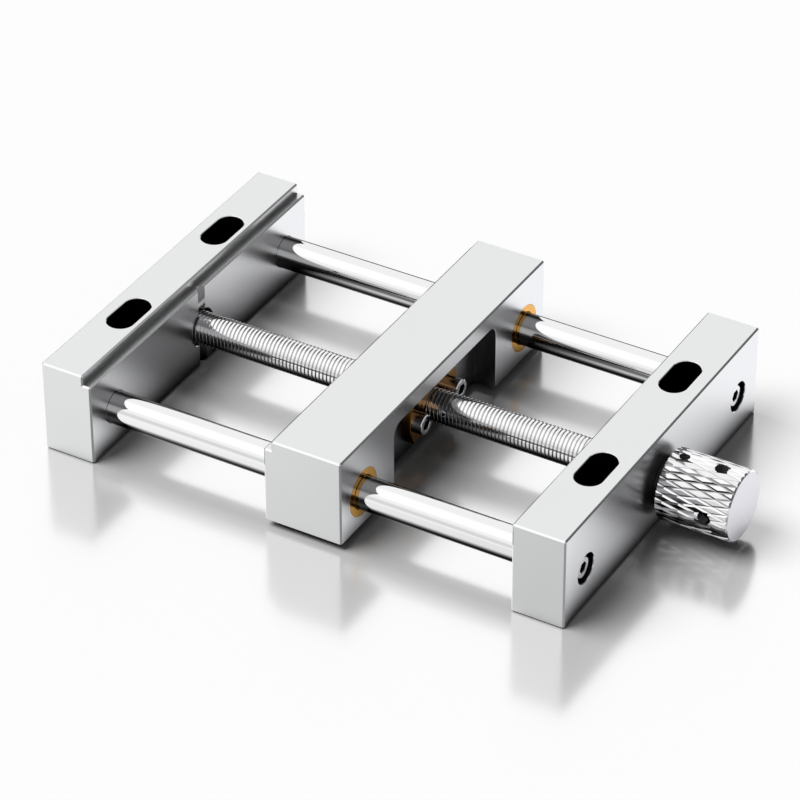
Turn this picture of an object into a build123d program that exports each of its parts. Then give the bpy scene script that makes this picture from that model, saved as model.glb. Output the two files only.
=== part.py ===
from build123d import *
import os

# A small flat screw vise that bolts down to a table. A knurled knob turns a screw, and the
# screw moves the middle jaw along two guide rods, between a fixed jaw and an end block.
# Millimetres. +X runs from the fixed jaw to the knob, +Y across the jaws and +Z up.
# The origin is the middle of the vise's footprint, on the surface that it stands on.
# Each piece is written as its own file, in its place in the vise.

# Blocks
block_length = 95.0
block_height = 24.0
bar_thickness = 13.25
jaw_thickness = 20.1
bar_span = 110.0
rest_opening = 46.5
jaw_lift = 1.4
edge_break = 0.35
ledge_depth = 2.0
ledge_height = 2.6
vee_width = 3.0

# Height of the screw and the rods above the table
axis_height = 10.3

# Mounting slots in the fixed jaw and the end block
slot_width = 6.8
slot_length = 13.6
slot_spacing = 41.0
slot_line = 6.4

# Guide rods, their bushes and the screws that hold them
rod_d = 8.0
rod_inset = 9.9
rod_seat_depth = 6.5
rod_chamfer = 0.4
guide_bush_d = 12.0
guide_bush_length = 8.0
rod_screw_d = 3.0
rod_screw_length = 10.0
rod_screw_head_d = 5.5
rod_screw_head_height = 3.0
rod_screw_recess = 0.7
counterbore_d = 7.4

# Lead screw
screw_d = 8.0
thread_pitch = 1.0
thread_depth = 0.6
crest_flat = 0.16
journal_d = 6.0
tail_bush_length = 5.0
tail_bore_depth = 10.0
screw_bore_d = 9.5
shaft_chamfer = 0.4

# Nut in the jaw's pocket
pocket_width = 47.5
pocket_depth = 5.5
pocket_web = 4.5
pocket_corner_r = 3.0
nut_flange_d = 22.0
nut_flange_thickness = 2.4
nut_flange_height = 11.0
nut_hub_d = 10.2
nut_hub_length = 12.0
nut_screw_circle_d = 16.4
nut_screw_d = 3.0
nut_screw_length = 8.0
nut_screw_head_d = 5.0
nut_screw_head_height = 2.7

# Washers on the screw, inside and outside the end block
inner_washer_d = 11.0
inner_washer_thickness = 1.0
outer_washer_d = 12.0
outer_washer_thickness = 1.6

# Knob, from its back face to its front face
knob_d = 17.1
knob_length = 18.3
knob_chamfer = 0.3
knob_bore_depth = 16.0
small_cross_hole_d = 2.7
large_cross_hole_d = 3.3
back_hole_place = 3.3
front_hole_place = 12.5
set_screw_length = 3.2

# Hexagon sockets, by the width across their flats
rod_socket = 2.5
nut_socket = 2.5
set_socket = 1.5
socket_depth = 1.6
screw_chamfer = 0.3
bush_chamfer = 0.25

# Clearances: radial, except for the last three, which are along the screw
running_gap = 0.05
washer_gap = 0.15
thread_gap = 0.05
bolt_gap = 0.2
hub_gap = 0.15
end_play = 0.05
tail_gap = 0.3
tap_runout = 1.0

# How far a cutting tool starts outside the piece that it cuts
overshoot = 2.0

sides = {"near": -1, "far": 1}

# Places along the screw
washer_stack = outer_washer_thickness + end_play
overall_length = 2 * bar_thickness + bar_span + washer_stack + knob_length
fixed_outer = -overall_length / 2
fixed_inner = fixed_outer + bar_thickness
jaw_back = fixed_inner + rest_opening
jaw_front = jaw_back + jaw_thickness
end_inner = fixed_inner + bar_span
end_outer = end_inner + bar_thickness
knob_back = end_outer + washer_stack
knob_front = knob_back + knob_length
nut_seat = jaw_front - pocket_depth
tail_bore_end = fixed_inner - tail_bore_depth
tail_bush_front = tail_bore_end + tail_bush_length
thread_start = tail_bush_front + tail_gap
thread_end = end_inner - inner_washer_thickness - end_play
knob_bore_end = knob_back + knob_bore_depth

# Radii, the rods' spacing and what follows from the rod screws
rod_r = rod_d / 2
screw_r = screw_d / 2
journal_r = journal_d / 2
rod_spacing = block_length - 2 * rod_inset
counterbore_depth = rod_screw_recess + rod_screw_head_height
rod_seat_web = bar_thickness - counterbore_depth - rod_seat_depth
rod_tap_depth = rod_screw_length - rod_seat_web + tap_runout


def cuboid(x_span, y_span, z_span):
    """Box between two places along each axis."""
    size = [high - low for low, high in (x_span, y_span, z_span)]
    middle = [(low + high) / 2 for low, high in (x_span, y_span, z_span)]
    return Pos(*middle) * Box(*size)


def turned(outline, x=0.0, y=0.0, z=axis_height):
    """Solid turned about a line along X, from (place along the line, radius) points."""
    profile = make_face(Polyline(*outline, close=True))
    return Pos(x, y, z) * revolve(profile, Axis.X, 360)


def bar(start, end, radius, y=0.0, z=axis_height):
    """Plain round bar along X, also the tool for a round hole."""
    return turned([(start, 0), (start, radius), (end, radius), (end, 0)], 0, y, z)


def hexagon(across, depth):
    """Hexagonal bar from the origin along +X."""
    outline = RegularPolygon(across / 2, 6, major_radius=False)
    return extrude(Plane.YZ * outline, depth)


def rod_lines():
    """Each rod's side name and its place across the vise."""
    return [(side, sign * rod_spacing / 2) for side, sign in sides.items()]


def block(x_span, z_span):
    """Rectangular block as long as the jaws, with its edges broken."""
    half = block_length / 2
    blank = cuboid(x_span, (-half, half), z_span)
    return chamfer(blank.edges(), edge_break)


def ledge(corner, inward):
    """Tool for the ledge along a clamping face's top edge."""
    half = block_length / 2 + overshoot
    x_span = sorted((corner + inward * ledge_depth, corner - inward * overshoot))
    return cuboid(x_span, (-half, half), (block_height - ledge_height, block_height + overshoot))


def mounting_slots(x):
    """Tools for a block's two slots, which run across the vise."""
    outline = SlotOverall(slot_length, slot_width, rotation=90)
    cutter = extrude(outline, block_height + 2 * overshoot)
    return [Pos(x, sign * slot_spacing / 2, -overshoot) * cutter for sign in sides.values()]


def rod_seats(inner, outer):
    """Tools for a block's rod seats, clearance holes and counterbores."""
    inward = 1 if inner > outer else -1
    tools = []
    for _, y in rod_lines():
        seat = (inner + inward * overshoot, inner - inward * rod_seat_depth)
        hole = (inner, outer)
        counterbore = (outer - inward * overshoot, outer + inward * counterbore_depth)
        tools.append(bar(*sorted(seat), rod_r, y))
        tools.append(bar(*sorted(hole), rod_screw_d / 2 + bolt_gap, y))
        tools.append(bar(*sorted(counterbore), counterbore_d / 2, y))
    return tools


def make_fixed_jaw():
    """Fixed jaw with its ledge, V-groove, slots, rod seats and the screw's blind bore."""
    tools = [ledge(fixed_inner, -1)]
    tools += mounting_slots(fixed_outer + slot_line)
    tools += rod_seats(fixed_inner, fixed_outer)
    tools.append(bar(tail_bore_end, fixed_inner + overshoot, screw_bore_d / 2))
    vee_side = vee_width / 2**0.5
    vee = Rot(0, 0, 45) * Box(vee_side, vee_side, block_height + 2 * overshoot)
    tools.append(Pos(fixed_inner, 0, block_height / 2) * vee)
    return block((fixed_outer, fixed_inner), (0, block_height)) - tools


def make_end_block():
    """End block with its slots, rod seats and the bore of the screw's bush."""
    tools = mounting_slots(end_inner + slot_line)
    tools += rod_seats(end_inner, end_outer)
    tools.append(bar(end_inner - overshoot, end_outer + overshoot, screw_bore_d / 2))
    return block((end_inner, end_outer), (0, block_height)) - tools


def make_movable_jaw():
    """Sliding jaw with its ledge, bush bores, nut pocket, hub bore and tapped holes."""
    pocket_half = pocket_width / 2
    pocket_top = block_height - pocket_web
    pocket = cuboid(
        (nut_seat, jaw_front + overshoot), (-pocket_half, pocket_half), (-overshoot, pocket_top)
    )
    top_corners = pocket.edges().filter_by(Axis.X).group_by(Axis.Z)[-1]
    tools = [ledge(jaw_back, 1), fillet(top_corners, pocket_corner_r)]
    for _, y in rod_lines():
        tools.append(bar(jaw_back - overshoot, jaw_front + overshoot, guide_bush_d / 2, y))
    tools.append(bar(jaw_back - overshoot, jaw_front, nut_hub_d / 2 + hub_gap))
    tap_end = nut_seat - (nut_screw_length - nut_flange_thickness + tap_runout)
    for y in nut_screw_lines():
        tools.append(bar(tap_end, nut_seat + overshoot, nut_screw_d / 2 + thread_gap, y))
    return block((jaw_back, jaw_front), (jaw_lift, block_height)) - tools


def make_guide_rod(y):
    """Guide rod with a tapped hole in each end."""
    start = fixed_inner - rod_seat_depth
    end = end_inner + rod_seat_depth
    rod = bar(start, end, rod_r, y)
    rod = chamfer(rod.edges().filter_by(GeomType.CIRCLE), rod_chamfer)
    hole_r = rod_screw_d / 2 + thread_gap
    front_hole = bar(end - rod_tap_depth, end + overshoot, hole_r, y)
    rear_hole = bar(start - overshoot, start + rod_tap_depth, hole_r, y)
    return rod - front_hole - rear_hole


def make_bush(start, end, inner_r, outer_r, y=0.0):
    """Plain bush with its bore chamfered at both ends."""
    outline = [
        (start, inner_r + bush_chamfer),
        (start, outer_r),
        (end, outer_r),
        (end, inner_r + bush_chamfer),
        (end - bush_chamfer, inner_r),
        (start + bush_chamfer, inner_r),
    ]
    return turned(outline, 0, y)


def make_washer(start, end, washer_d):
    """Flat washer on the screw's journal."""
    inner_r = journal_r + washer_gap
    outer_r = washer_d / 2
    return turned([(start, inner_r), (start, outer_r), (end, outer_r), (end, inner_r)])


def make_socket_screw(head_d, head_height, shank_d, shank_length, socket):
    """Socket head screw on the X axis, its head's outer face at 0 and its shank to +X."""
    head_r = head_d / 2
    shank_r = shank_d / 2
    tip = head_height + shank_length
    outline = [
        (0, 0),
        (0, head_r - screw_chamfer),
        (screw_chamfer, head_r),
        (head_height, head_r),
        (head_height, shank_r),
        (tip - screw_chamfer, shank_r),
        (tip, shank_r - screw_chamfer),
        (tip, 0),
    ]
    return turned(outline, z=0) - hexagon(socket, socket_depth)


def make_rod_screw(head_face, shank_way, y):
    """Rod screw in a block's counterbore, its shank towards +X or -X."""
    screw = make_socket_screw(
        rod_screw_head_d, rod_screw_head_height, rod_screw_d, rod_screw_length, rod_socket
    )
    turn = 0 if shank_way > 0 else 180
    return Pos(head_face, y, axis_height) * Rot(0, 0, turn) * screw


def nut_screw_lines():
    """Places of the nut's two screws across the vise."""
    return [sign * nut_screw_circle_d / 2 for sign in sides.values()]


def make_nut_screw(y):
    """Screw that holds the nut's flange in the pocket."""
    screw = make_socket_screw(
        nut_screw_head_d, nut_screw_head_height, nut_screw_d, nut_screw_length, nut_socket
    )
    head_face = nut_seat + nut_flange_thickness + nut_screw_head_height
    return Pos(head_face, y, axis_height) * Rot(0, 0, 180) * screw


def make_lead_nut():
    """Flanged nut: a hub inside the jaw, and a flange cut flat above and below."""
    flange_front = nut_seat + nut_flange_thickness
    flange = bar(nut_seat, flange_front, nut_flange_d / 2)
    half = nut_flange_height / 2
    kept = cuboid(
        (nut_seat, flange_front),
        (-nut_flange_d, nut_flange_d),
        (axis_height - half, axis_height + half),
    )
    nut = (flange & kept) + bar(nut_seat - nut_hub_length, flange_front, nut_hub_d / 2)
    nut -= bar(nut_seat - nut_hub_length, flange_front, screw_r + running_gap)
    for y in nut_screw_lines():
        nut -= bar(nut_seat, flange_front, nut_screw_d / 2 + bolt_gap, y)
    return nut


def thread_grooves():
    """Outline points of the thread, drawn as evenly spaced V-grooves."""
    turns = int((thread_end - thread_start) / thread_pitch) - 1
    first = (thread_start + thread_end - turns * thread_pitch) / 2
    half = (thread_pitch - crest_flat) / 2
    points = []
    for turn in range(turns):
        root = first + (turn + 0.5) * thread_pitch
        points += [(root - half, screw_r), (root, screw_r - thread_depth), (root + half, screw_r)]
    return points


def make_lead_screw():
    """Threaded screw with a journal at each end, the front one long enough for the knob."""
    tail = tail_bore_end + tail_gap
    nose = knob_bore_end - tail_gap
    outline = [
        (tail, 0),
        (tail, journal_r - shaft_chamfer),
        (tail + shaft_chamfer, journal_r),
        (thread_start, journal_r),
        (thread_start, screw_r),
        *thread_grooves(),
        (thread_end, screw_r),
        (thread_end, journal_r),
        (nose - shaft_chamfer, journal_r),
        (nose, journal_r - shaft_chamfer),
        (nose, 0),
    ]
    return turned(outline)


def cross_holes():
    """The knob's cross holes: name, place from its back face, turn about X, diameter."""
    return [
        ("top_back", back_hole_place, 90, small_cross_hole_d),
        ("top_front", front_hole_place, 90, large_cross_hole_d),
        ("side_front", front_hole_place, 180, large_cross_hole_d),
    ]


def across_knob(shape, place, turn):
    """Shape moved from the X axis to a line that leaves the knob's axis sideways."""
    return Pos(knob_back + place, 0, axis_height) * Rot(turn, 0, 0) * Rot(0, 0, 90) * shape


def make_knob():
    """Plain round knob with a blind bore for the journal and three cross holes."""
    knob = bar(knob_back, knob_front, knob_d / 2)
    knob = chamfer(knob.edges().filter_by(GeomType.CIRCLE), knob_chamfer)
    knob -= bar(knob_back - overshoot, knob_bore_end, journal_r + running_gap)
    for _, place, turn, hole_d in cross_holes():
        cutter = bar(0, knob_d / 2 + overshoot, hole_d / 2, z=0)
        knob -= across_knob(cutter, place, turn)
    return knob


def make_set_screw(place, turn, hole_d):
    """Set screw in one of the knob's cross holes, its tip on the journal."""
    tip_r = hole_d / 2 - thread_gap
    top = journal_r + set_screw_length
    outline = [
        (journal_r, 0),
        (journal_r, tip_r - screw_chamfer),
        (journal_r + screw_chamfer, tip_r),
        (top, tip_r),
        (top, 0),
    ]
    screw = turned(outline, z=0) - Pos(top - socket_depth, 0, 0) * hexagon(set_socket, overshoot)
    return across_knob(screw, place, turn)


def make_pieces():
    """Every piece of the vise by name."""
    bush_inner_r = rod_r + running_gap
    bush_outer_r = guide_bush_d / 2
    journal_bore_r = journal_r + running_gap
    pieces = {
        "fixed_jaw": make_fixed_jaw(),
        "movable_jaw": make_movable_jaw(),
        "end_block": make_end_block(),
        "lead_screw": make_lead_screw(),
        "lead_nut": make_lead_nut(),
        "knob": make_knob(),
        "tail_bush": make_bush(
            tail_bore_end, tail_bush_front, journal_bore_r, screw_bore_d / 2
        ),
        "front_bush": make_bush(end_inner, end_outer, journal_bore_r, screw_bore_d / 2),
        "thrust_washer_inner": make_washer(
            end_inner - inner_washer_thickness, end_inner, inner_washer_d
        ),
        "thrust_washer_outer": make_washer(
            end_outer, end_outer + outer_washer_thickness, outer_washer_d
        ),
    }
    bush_ends = {
        "rear": (jaw_back, jaw_back + guide_bush_length),
        "front": (jaw_front - guide_bush_length, jaw_front),
    }
    head_faces = {
        "rear": (fixed_outer + rod_screw_recess, 1),
        "front": (end_outer - rod_screw_recess, -1),
    }
    for side, y in rod_lines():
        pieces[f"guide_rod_{side}"] = make_guide_rod(y)
        for end, (start, stop) in bush_ends.items():
            bush = make_bush(start, stop, bush_inner_r, bush_outer_r, y)
            pieces[f"guide_bush_{end}_{side}"] = bush
        for end, (face, way) in head_faces.items():
            pieces[f"rod_screw_{end}_{side}"] = make_rod_screw(face, way, y)
    for side, y in zip(sides, nut_screw_lines()):
        pieces[f"nut_screw_{side}"] = make_nut_screw(y)
    for name, place, turn, hole_d in cross_holes():
        pieces[f"knob_screw_{name}"] = make_set_screw(place, turn, hole_d)
    return pieces


os.makedirs("parts", exist_ok=True)
for piece_name, piece in make_pieces().items():
    export_step(piece, f"parts/{piece_name}.step")
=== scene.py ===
"""The looks of a flat screw vise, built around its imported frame.

A fixed jaw and an end block stand on the table, held apart by two polished guide rods. A
threaded spindle with a knurled knob drives the sliding jaw along the rods. The classes hold
their sizes in millimetres, along the frame's own axes: X runs from the fixed jaw to the
knob, Y across the jaws and Z up. Every finished mesh is in metres.
"""

import logging
import math
from collections.abc import Callable, Sequence
from dataclasses import dataclass
from enum import Enum

import bmesh
import bpy
from mathutils import Matrix, Vector

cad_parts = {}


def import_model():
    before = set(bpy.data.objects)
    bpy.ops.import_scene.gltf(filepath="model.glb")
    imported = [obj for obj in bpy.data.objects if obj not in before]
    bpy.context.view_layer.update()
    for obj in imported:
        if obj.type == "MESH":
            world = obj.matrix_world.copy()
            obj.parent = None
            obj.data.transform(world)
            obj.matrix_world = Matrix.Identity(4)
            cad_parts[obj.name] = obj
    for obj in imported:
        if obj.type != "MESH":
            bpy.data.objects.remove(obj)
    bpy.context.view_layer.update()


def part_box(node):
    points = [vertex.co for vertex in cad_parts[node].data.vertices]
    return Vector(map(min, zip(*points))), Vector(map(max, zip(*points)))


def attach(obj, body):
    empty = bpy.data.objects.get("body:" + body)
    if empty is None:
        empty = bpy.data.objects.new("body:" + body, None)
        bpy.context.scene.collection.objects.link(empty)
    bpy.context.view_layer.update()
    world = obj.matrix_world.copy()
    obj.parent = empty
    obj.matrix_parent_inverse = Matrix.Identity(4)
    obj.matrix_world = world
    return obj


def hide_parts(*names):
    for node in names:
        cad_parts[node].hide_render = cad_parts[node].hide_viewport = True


log = logging.getLogger("vise")

# Sizes that several classes share, in millimetres
AXIS_HEIGHT = 10.3
ROD_LINE = 37.6
ROD_RADIUS = 4.0
SEAT_DEPTH = 6.5
GUIDE_BUSH_RADIUS = 6.0
JOURNAL_BUSH_RADIUS = 4.75
TAIL_BORE_DEPTH = 10.0
POCKET_DEPTH = 5.5
FLANGE_THICKNESS = 2.4
NUT_SCREW_LINE = 8.2

# Units, tolerances and the facets of a round
MM = 0.001
SAME_PLACE = 1e-3
WELD = 1e-4
ON_PLANE = 1e-5
CREASE = math.radians(12.0)
SHARP = math.radians(30.0)
FULL_TURN = 2.0 * math.pi
ROUND_STEPS = 96
HEXAGON = 6
QUARTER_TURN = 90.0
HALF_TURN = 180.0
ORIGIN = (0.0, 0.0, 0.0)
WHITE = (1.0, 1.0, 1.0, 1.0)

Point = tuple[float, float, float]
Profile = Sequence[tuple[float, float]]
Socket = bpy.types.NodeSocket


class Body(Enum):
    """The bodies that pieces ride on."""

    FRAME = "frame"
    SCREW = "screw"
    JAW = "jaw"


class Slot(Enum):
    """The record's material slots."""

    BLOCK = "block_aluminium"
    ROD = "rod_chrome"
    SPINDLE = "screw_steel"
    FASTENER = "fastener_steel"
    SET_SCREW = "set_screw_steel"
    NUT = "nut_brass"
    BUSH = "bush_bronze"
    KNOB = "knob_aluminium"
    WASHER = "washer_acetal"


class Side(Enum):
    """The two ends of the jaws, as the sign of Y."""

    NEAR = -1
    FAR = 1

    @property
    def label(self) -> str:
        """The side's name in node and piece names."""
        return self.name.lower()


class Lay(Enum):
    """The marks that a surface's making left: even grain, or rings about the X axis."""

    EVEN = "even"
    TURNED = "turned"


class Blend(Enum):
    """What a Mix node blends: its data type, its first input and its output."""

    NUMBER = ("FLOAT", 2, 0)
    COLOUR = ("RGBA", 6, 2)


class Shape:
    """A closed mesh under way, in millimetres."""

    def __init__(self) -> None:
        """Starts with no geometry."""
        self.bm = bmesh.new()

    @classmethod
    def turned(
        cls, profile: Profile, y: float = 0.0, z: float = 0.0, steps: int = ROUND_STEPS
    ) -> "Shape":
        """Turns a profile about a line along X.

        Args:
            profile: Points of place along X and radius.
            y: Place of the line across the vise.
            z: Height of the line.
            steps: Facets around a full turn.

        Returns:
            The turned shape.
        """
        shape = cls()
        shape.add_turned(profile, steps=steps)
        return shape.move(0.0, y, z)

    @classmethod
    def pin(
        cls,
        start: float,
        end: float,
        radius: float,
        y: float = 0.0,
        z: float = AXIS_HEIGHT,
        steps: int = ROUND_STEPS,
    ) -> "Shape":
        """Makes a plain pin along X, as the tool for a bore.

        Args:
            start: Place of its lower end along X.
            end: Place of its upper end along X.
            radius: Its radius.
            y: Place of its axis across the vise.
            z: Height of its axis.
            steps: Facets around a full turn.

        Returns:
            The pin.
        """
        profile = ((start, 0.0), (start, radius), (end, radius), (end, 0.0))
        return cls.turned(profile, y, z, steps)

    @classmethod
    def tube(
        cls,
        span: tuple[float, float],
        bore: float,
        radius: float,
        y: float = 0.0,
        lead: float = 0.0,
        rim: float = 0.0,
    ) -> "Shape":
        """Turns a tube on an axis at the rods' height.

        Args:
            span: Places of its two ends along X.
            bore: Radius of its bore.
            radius: Its outer radius.
            y: Place of its axis across the vise.
            lead: Width of the bore's chamfers, nought for none.
            rim: Width of the outer chamfers.

        Returns:
            The tube.
        """
        start, end = span
        outside = (
            (start, bore + lead), (start, radius - rim), (start + rim, radius),
            (end - rim, radius), (end, radius - rim), (end, bore + lead),
        )
        inside = ((end - lead, bore), (start + lead, bore)) if lead else ()
        return cls.turned((*outside, *inside, outside[0]), y, AXIS_HEIGHT)

    @classmethod
    def box(cls, x: Sequence[float], y: Sequence[float], z: Sequence[float]) -> "Shape":
        """Makes a plain box between two places along each axis.

        Args:
            x: Its two places along X.
            y: Its two places along Y.
            z: Its two places along Z.

        Returns:
            The box.
        """
        shape = cls()
        spans = (sorted(x), sorted(y), sorted(z))
        size = [high - low for low, high in spans]
        middle = [(low + high) / 2.0 for low, high in spans]
        matrix = Matrix.Translation(middle) @ Matrix.Diagonal((*size, 1.0))
        bmesh.ops.create_cube(shape.bm, size=1.0, matrix=matrix)
        return shape

    @classmethod
    def extruded(cls, outline: Profile, half_length: float) -> "Shape":
        """Extrudes an outline in X and Z along Y, by half a length to each side.

        Args:
            outline: Points of place along X and height.
            half_length: Half of the length along Y.

        Returns:
            The extruded shape.
        """
        shape = cls()
        verts = [shape.bm.verts.new((x, -half_length, z)) for x, z in outline]
        face = shape.bm.faces.new(verts)
        grown = bmesh.ops.extrude_face_region(shape.bm, geom=[face], use_keep_orig=True)
        moved = [item for item in grown["geom"] if isinstance(item, bmesh.types.BMVert)]
        bmesh.ops.translate(shape.bm, verts=moved, vec=(0.0, 2.0 * half_length, 0.0))
        return shape.close()

    def add_turned(self, profile: Profile, pitch: float = 0.0, steps: int = ROUND_STEPS) -> None:
        """Adds a profile turned about the X axis, as a helix if it has a pitch.

        Args:
            profile: Points of place along X and radius.
            pitch: Advance along X in one turn.
            steps: Facets around a full turn.
        """
        known = set(self.bm.verts)
        verts = [self.bm.verts.new((x, radius, 0.0)) for x, radius in profile]
        edges = [self.bm.edges.new(pair) for pair in zip(verts, verts[1:])]
        bmesh.ops.spin(
            self.bm,
            geom=verts + edges,
            cent=ORIGIN,
            axis=(1.0, 0.0, 0.0),
            dvec=(pitch / steps, 0.0, 0.0),
            angle=FULL_TURN,
            steps=steps,
            use_merge=pitch == 0.0,
        )
        made = [vert for vert in self.bm.verts if vert not in known]
        bmesh.ops.remove_doubles(self.bm, verts=made, dist=SAME_PLACE)
        self.close()

    def close(self) -> "Shape":
        """Turns every face outwards."""
        bmesh.ops.recalc_face_normals(self.bm, faces=self.bm.faces)
        return self

    def cap(self) -> "Shape":
        """Fills the open ends.

        Returns:
            This shape.
        """
        rims = [edge for edge in self.bm.edges if edge.is_boundary]
        bmesh.ops.holes_fill(self.bm, edges=rims, sides=0)
        return self.close()

    def move(self, x: float, y: float, z: float) -> "Shape":
        """Moves the shape."""
        bmesh.ops.translate(self.bm, verts=self.bm.verts, vec=(x, y, z))
        return self

    def turn(self, degrees: float, axis: str) -> "Shape":
        """Turns the shape about one of the frame's axes.

        Args:
            degrees: The angle.
            axis: The axis's letter.

        Returns:
            This shape.
        """
        matrix = Matrix.Rotation(math.radians(degrees), 3, axis)
        bmesh.ops.rotate(self.bm, verts=self.bm.verts, cent=ORIGIN, matrix=matrix)
        return self

    def stretch(self, spread: float) -> "Shape":
        """Pulls the two halves of a round tool apart along Y, which makes a slot tool.

        Args:
            spread: How far each half moves.

        Returns:
            This shape.
        """
        for sign in (-1.0, 1.0):
            half = [vert for vert in self.bm.verts if vert.co.y * sign > 0.0]
            bmesh.ops.translate(self.bm, verts=half, vec=(0.0, sign * spread, 0.0))
        return self

    def trim(self, start: float, end: float) -> "Shape":
        """Cuts away what lies outside two places along X, and leaves the ends open.

        Args:
            start: The lower place.
            end: The upper place.

        Returns:
            This shape.
        """
        for place, way in ((start, -1.0), (end, 1.0)):
            bmesh.ops.bisect_plane(
                self.bm,
                geom=[*self.bm.verts, *self.bm.edges, *self.bm.faces],
                dist=ON_PLANE,
                plane_co=(place, 0.0, 0.0),
                plane_no=(way, 0.0, 0.0),
                clear_outer=True,
            )
        return self

    def bevel(self, edges: list[bmesh.types.BMEdge], width: float, facets: int) -> "Shape":
        """Bevels edges to a width, with a number of facets.

        Args:
            edges: The edges.
            width: How far the bevel reaches from an edge.
            facets: Facets across the bevel.

        Returns:
            This shape.
        """
        bmesh.ops.bevel(
            self.bm,
            geom=edges,
            offset=width,
            offset_type="OFFSET",
            affect="EDGES",
            segments=facets,
            profile=0.5,
            material=-1,
        )
        return self

    def soften(
        self,
        width: float,
        facets: int,
        chosen: Callable[[bmesh.types.BMEdge], bool] | None = None,
    ) -> "Shape":
        """Breaks sharp outer edges.

        Args:
            width: How far the break reaches from the edge.
            facets: Facets across the break.
            chosen: Says which of the sharp outer edges are broken; all if left out.

        Returns:
            This shape.
        """
        edges = [
            edge
            for edge in self.bm.edges
            if len(edge.link_faces) == 2
            and edge.is_convex
            and edge.calc_face_angle(0.0) > SHARP
            and (chosen is None or chosen(edge))
        ]
        return self.bevel(edges, width, facets)

    def cut(self, *tools: "Shape") -> "Shape":
        """Cuts the shapes of tools out of this one, one after the other.

        Args:
            tools: The tools, which are used up.

        Returns:
            This shape.
        """
        for tool in tools:
            self._combine(tool, "DIFFERENCE")
        return self

    def keep(self, tool: "Shape") -> "Shape":
        """Keeps only what lies inside a tool's shape."""
        return self._combine(tool, "INTERSECT")

    def _combine(self, tool: "Shape", operation: str) -> "Shape":
        """Runs an exact boolean with a tool, which is used up.

        Args:
            tool: The other shape.
            operation: The boolean's kind.

        Returns:
            This shape.
        """
        bodies = []
        for bm in (self.bm, tool.bm):
            bmesh.ops.recalc_face_normals(bm, faces=bm.faces)
            mesh = bpy.data.meshes.new("under_way")
            bm.to_mesh(mesh)
            bm.free()
            body = bpy.data.objects.new("under_way", mesh)
            bpy.context.scene.collection.objects.link(body)
            bodies.append(body)
        stock, cutter = bodies
        modifier = stock.modifiers.new("cut", "BOOLEAN")
        modifier.operation = operation
        modifier.solver = "EXACT"
        modifier.object = cutter
        graph = bpy.context.evaluated_depsgraph_get()
        result = bpy.data.meshes.new_from_object(stock.evaluated_get(graph))
        self.bm = bmesh.new()
        self.bm.from_mesh(result)
        bpy.data.meshes.remove(result)
        for body in bodies:
            mesh = body.data
            bpy.data.objects.remove(body)
            bpy.data.meshes.remove(mesh)
        bmesh.ops.remove_doubles(self.bm, verts=self.bm.verts, dist=WELD)
        return self

    def finish(
        self, name: str, material: bpy.types.Material, body: Body, slot: Slot, node: str
    ) -> bpy.types.Object:
        """Makes the finished piece.

        Args:
            name: The piece's name.
            material: Its finish.
            body: The body that it rides on.
            slot: The record's slot for its finish; not used.
            node: The CAD node that it is shown in place of.

        Returns:
            The piece, at the origin and in metres.
        """
        bmesh.ops.scale(self.bm, verts=self.bm.verts, vec=(MM, MM, MM))
        mesh = bpy.data.meshes.new(name)
        self.bm.to_mesh(mesh)
        self.bm.free()
        mesh.shade_smooth()
        mesh.set_sharp_from_angle(angle=CREASE)
        mesh.materials.append(material)
        piece = bpy.data.objects.new(name, mesh)
        bpy.context.scene.collection.objects.link(piece)
        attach(piece, body.value)
        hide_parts(node)
        log.info("%s: %d faces on %s", name, len(mesh.polygons), body.value)
        return piece


@dataclass(frozen=True)
class Fade:
    """A change of level between two places, directions or amounts, held beyond both."""

    start: float
    end: float
    low: float = 0.0
    high: float = 1.0
    smooth: bool = False


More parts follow.
